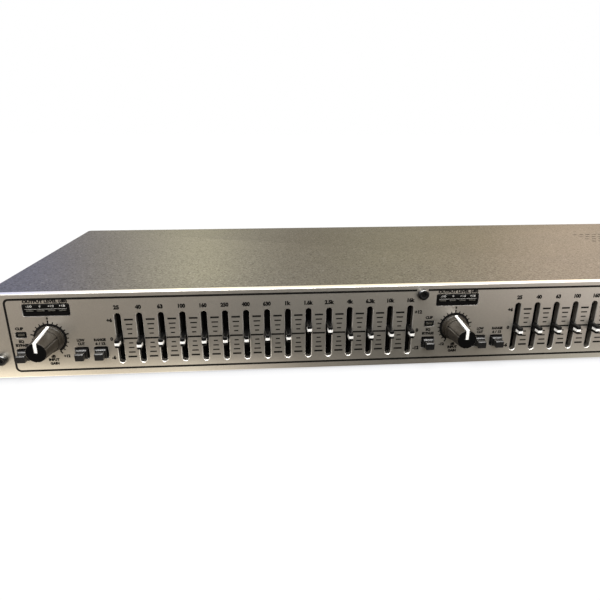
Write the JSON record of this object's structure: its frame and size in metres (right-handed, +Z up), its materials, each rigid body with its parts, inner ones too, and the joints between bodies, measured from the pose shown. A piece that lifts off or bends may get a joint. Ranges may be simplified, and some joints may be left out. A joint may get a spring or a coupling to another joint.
{
  "type": "graphic equalizer",
  "caption": "Flat rack-mount audio equalizer: a thin metal box behind a wide front panel with rows of vertical faders, gain knobs, push buttons and level meters.",
  "frame": {"origin": "middle of the flat underside of the chassis, level with the lower edge of the front panel", "axes": "+X to the right seen from the front, +Y into the unit away from the controls, +Z up"},
  "size_m": [0.4826, 0.1847, 0.044],
  "materials": {
    "front_panel": "fine satin, warm silver-grey, black printed scales",
    "cover_paint": "satin dark grey with a fine speckle",
    "chassis": "satin black-grey",
    "fader_cap": "satin black with a white pointer line",
    "button_plastic": "satin black",
    "knob_plastic": "satin charcoal with a white pointer",
    "lamp_lens": "glossy black surround with unlit lenses",
    "black_plastic": "moulded black",
    "black_screw": "glossy black",
    "circuit_board": "green solder mask",
    "transformer_steel": "laminated steel",
    "ribbon": "grey flat cable"
  },
  "bodies": {
    "root": {"front_panel": "front_panel", "chassis_tray": "chassis", "top_cover": "cover_paint", "ch1_slider_board": "circuit_board", "ch2_slider_board": "circuit_board", "ch1_level_meter": "lamp_lens", "ch2_level_meter": "lamp_lens", "ch1_clip_lamp": "lamp_lens", "ch2_clip_lamp": "lamp_lens", "main_board": "circuit_board", "power_transformer": "transformer_steel", "mains_inlet": "black_plastic", "power_switch_housing": "black_plastic", "ch1_input_xlr": "black_plastic", "ch1_output_xlr": "black_plastic", "ch2_input_xlr": "black_plastic", "ch2_output_xlr": "black_plastic", "panel_screw_centre": "black_screw", "panel_screw_left": "black_screw", "panel_screw_right": "black_screw", "ribbon_cable": "ribbon"},
    "ch1_fader_25": {"ch1_fader_25": "fader_cap"},
    "ch1_fader_40": {"ch1_fader_40": "fader_cap"},
    "ch1_fader_63": {"ch1_fader_63": "fader_cap"},
    "ch1_fader_100": {"ch1_fader_100": "fader_cap"},
    "ch1_fader_160": {"ch1_fader_160": "fader_cap"},
    "ch1_fader_250": {"ch1_fader_250": "fader_cap"},
    "ch1_fader_400": {"ch1_fader_400": "fader_cap"},
    "ch1_fader_630": {"ch1_fader_630": "fader_cap"},
    "ch1_fader_1k": {"ch1_fader_1k": "fader_cap"},
    "ch1_fader_1k6": {"ch1_fader_1k6": "fader_cap"},
    "ch1_fader_2k5": {"ch1_fader_2k5": "fader_cap"},
    "ch1_fader_4k": {"ch1_fader_4k": "fader_cap"},
    "ch1_fader_6k3": {"ch1_fader_6k3": "fader_cap"},
    "ch1_fader_10k": {"ch1_fader_10k": "fader_cap"},
    "ch1_fader_16k": {"ch1_fader_16k": "fader_cap"},
    "ch2_fader_25": {"ch2_fader_25": "fader_cap"},
    "ch2_fader_40": {"ch2_fader_40": "fader_cap"},
    "ch2_fader_63": {"ch2_fader_63": "fader_cap"},
    "ch2_fader_100": {"ch2_fader_100": "fader_cap"},
    "ch2_fader_160": {"ch2_fader_160": "fader_cap"},
    "ch2_fader_250": {"ch2_fader_250": "fader_cap"},
    "ch2_fader_400": {"ch2_fader_400": "fader_cap"},
    "ch2_fader_630": {"ch2_fader_630": "fader_cap"},
    "ch2_fader_1k": {"ch2_fader_1k": "fader_cap"},
    "ch2_fader_1k6": {"ch2_fader_1k6": "fader_cap"},
    "ch2_fader_2k5": {"ch2_fader_2k5": "fader_cap"},
    "ch2_fader_4k": {"ch2_fader_4k": "fader_cap"},
    "ch2_fader_6k3": {"ch2_fader_6k3": "fader_cap"},
    "ch2_fader_10k": {"ch2_fader_10k": "fader_cap"},
    "ch2_fader_16k": {"ch2_fader_16k": "fader_cap"},
    "ch1_eq_bypass_button": {"ch1_eq_bypass_button": "button_plastic"},
    "ch1_low_cut_button": {"ch1_low_cut_button": "button_plastic"},
    "ch1_range_button": {"ch1_range_button": "button_plastic"},
    "ch2_eq_bypass_button": {"ch2_eq_bypass_button": "button_plastic"},
    "ch2_low_cut_button": {"ch2_low_cut_button": "button_plastic"},
    "ch2_range_button": {"ch2_range_button": "button_plastic"},
    "ch1_gain_knob": {"ch1_gain_knob": "knob_plastic"},
    "ch2_gain_knob": {"ch2_gain_knob": "knob_plastic"},
    "power_rocker": {"power_rocker": "black_plastic"}
  },
  "joints": [
    {"name": "ch1_fader_25_slide", "type": "slide", "parent": "root", "child": "ch1_fader_25", "axis": [0, 0, 1], "range_m": [-0.01, 0.01]},
    {"name": "ch1_fader_40_slide", "type": "slide", "parent": "root", "child": "ch1_fader_40", "axis": [0, 0, 1], "range_m": [-0.0089, 0.0111]},
    {"name": "ch1_fader_63_slide", "type": "slide", "parent": "root", "child": "ch1_fader_63", "axis": [0, 0, 1], "range_m": [-0.01, 0.01]},
    {"name": "ch1_fader_100_slide", "type": "slide", "parent": "root", "child": "ch1_fader_100", "axis": [0, 0, 1], "range_m": [-0.01, 0.01]},
    {"name": "ch1_fader_160_slide", "type": "slide", "parent": "root", "child": "ch1_fader_160", "axis": [0, 0, 1], "range_m": [-0.01, 0.01]},
    {"name": "ch1_fader_250_slide", "type": "slide", "parent": "root", "child": "ch1_fader_250", "axis": [0, 0, 1], "range_m": [-0.01, 0.01]},
    {"name": "ch1_fader_400_slide", "type": "slide", "parent": "root", "child": "ch1_fader_400", "axis": [0, 0, 1], "range_m": [-0.01, 0.01]},
    {"name": "ch1_fader_630_slide", "type": "slide", "parent": "root", "child": "ch1_fader_630", "axis": [0, 0, 1], "range_m": [-0.0105, 0.0095]},
    {"name": "ch1_fader_1k_slide", "type": "slide", "parent": "root", "child": "ch1_fader_1k", "axis": [0, 0, 1], "range_m": [-0.0105, 0.0095]},
    {"name": "ch1_fader_1k6_slide", "type": "slide", "parent": "root", "child": "ch1_fader_1k6", "axis": [0, 0, 1], "range_m": [-0.0146, 0.0054]},
    {"name": "ch1_fader_2k5_slide", "type": "slide", "parent": "root", "child": "ch1_fader_2k5", "axis": [0, 0, 1], "range_m": [-0.0138, 0.0062]},
    {"name": "ch1_fader_4k_slide", "type": "slide", "parent": "root", "child": "ch1_fader_4k", "axis": [0, 0, 1], "range_m": [-0.01, 0.01]},
    {"name": "ch1_fader_6k3_slide", "type": "slide", "parent": "root", "child": "ch1_fader_6k3", "axis": [0, 0, 1], "range_m": [-0.01, 0.01]},
    {"name": "ch1_fader_10k_slide", "type": "slide", "parent": "root", "child": "ch1_fader_10k", "axis": [0, 0, 1], "range_m": [-0.0106, 0.0094]},
    {"name": "ch1_fader_16k_slide", "type": "slide", "parent": "root", "child": "ch1_fader_16k", "axis": [0, 0, 1], "range_m": [-0.0105, 0.0095]},
    {"name": "ch2_fader_25_slide", "type": "slide", "parent": "root", "child": "ch2_fader_25", "axis": [0, 0, 1], "range_m": [-0.01, 0.01]},
    {"name": "ch2_fader_40_slide", "type": "slide", "parent": "root", "child": "ch2_fader_40", "axis": [0, 0, 1], "range_m": [-0.01, 0.01]},
    {"name": "ch2_fader_63_slide", "type": "slide", "parent": "root", "child": "ch2_fader_63", "axis": [0, 0, 1], "range_m": [-0.01, 0.01]},
    {"name": "ch2_fader_100_slide", "type": "slide", "parent": "root", "child": "ch2_fader_100", "axis": [0, 0, 1], "range_m": [-0.01, 0.01]},
    {"name": "ch2_fader_160_slide", "type": "slide", "parent": "root", "child": "ch2_fader_160", "axis": [0, 0, 1], "range_m": [-0.01, 0.01]},
    {"name": "ch2_fader_250_slide", "type": "slide", "parent": "root", "child": "ch2_fader_250", "axis": [0, 0, 1], "range_m": [-0.01, 0.01]},
    {"name": "ch2_fader_400_slide", "type": "slide", "parent": "root", "child": "ch2_fader_400", "axis": [0, 0, 1], "range_m": [-0.01, 0.01]},
    {"name": "ch2_fader_630_slide", "type": "slide", "parent": "root", "child": "ch2_fader_630", "axis": [0, 0, 1], "range_m": [-0.01, 0.01]},
    {"name": "ch2_fader_1k_slide", "type": "slide", "parent": "root", "child": "ch2_fader_1k", "axis": [0, 0, 1], "range_m": [-0.01, 0.01]},
    {"name": "ch2_fader_1k6_slide", "type": "slide", "parent": "root", "child": "ch2_fader_1k6", "axis": [0, 0, 1], "range_m": [-0.01, 0.01]},
    {"name": "ch2_fader_2k5_slide", "type": "slide", "parent": "root", "child": "ch2_fader_2k5", "axis": [0, 0, 1], "range_m": [-0.01, 0.01]},
    {"name": "ch2_fader_4k_slide", "type": "slide", "parent": "root", "child": "ch2_fader_4k", "axis": [0, 0, 1], "range_m": [-0.01, 0.01]},
    {"name": "ch2_fader_6k3_slide", "type": "slide", "parent": "root", "child": "ch2_fader_6k3", "axis": [0, 0, 1], "range_m": [-0.01, 0.01]},
    {"name": "ch2_fader_10k_slide", "type": "slide", "parent": "root", "child": "ch2_fader_10k", "axis": [0, 0, 1], "range_m": [-0.01, 0.01]},
    {"name": "ch2_fader_16k_slide", "type": "slide", "parent": "root", "child": "ch2_fader_16k", "axis": [0, 0, 1], "range_m": [-0.01, 0.01]},
    {"name": "ch1_eq_bypass_press", "type": "slide", "parent": "root", "child": "ch1_eq_bypass_button", "axis": [0, 1, 0], "range_m": [0, 0.003], "stiffness_N_per_m": 200},
    {"name": "ch1_low_cut_press", "type": "slide", "parent": "root", "child": "ch1_low_cut_button", "axis": [0, 1, 0], "range_m": [0, 0.003], "stiffness_N_per_m": 200},
    {"name": "ch1_range_press", "type": "slide", "parent": "root", "child": "ch1_range_button", "axis": [0, 1, 0], "range_m": [0, 0.003], "stiffness_N_per_m": 200},
    {"name": "ch2_eq_bypass_press", "type": "slide", "parent": "root", "child": "ch2_eq_bypass_button", "axis": [0, 1, 0], "range_m": [0, 0.003], "stiffness_N_per_m": 200},
    {"name": "ch2_low_cut_press", "type": "slide", "parent": "root", "child": "ch2_low_cut_button", "axis": [0, 1, 0], "range_m": [0, 0.003], "stiffness_N_per_m": 200},
    {"name": "ch2_range_press", "type": "slide", "parent": "root", "child": "ch2_range_button", "axis": [0, 1, 0], "range_m": [0, 0.003], "stiffness_N_per_m": 200},
    {"name": "ch1_gain_turn", "type": "hinge", "parent": "root", "child": "ch1_gain_knob", "pos_m": [-0.1855, -0.085, 0.0207], "axis": [0, 1, 0], "range_deg": [-150, 150]},
    {"name": "ch2_gain_turn", "type": "hinge", "parent": "root", "child": "ch2_gain_knob", "pos_m": [0.0186, -0.085, 0.0207], "axis": [0, 1, 0], "range_deg": [-150, 150]},
    {"name": "power_rock", "type": "hinge", "parent": "root", "child": "power_rocker", "pos_m": [0.146, 0.078, 0.021], "axis": [1, 0, 0], "range_deg": [-16, 0]}
  ]
}
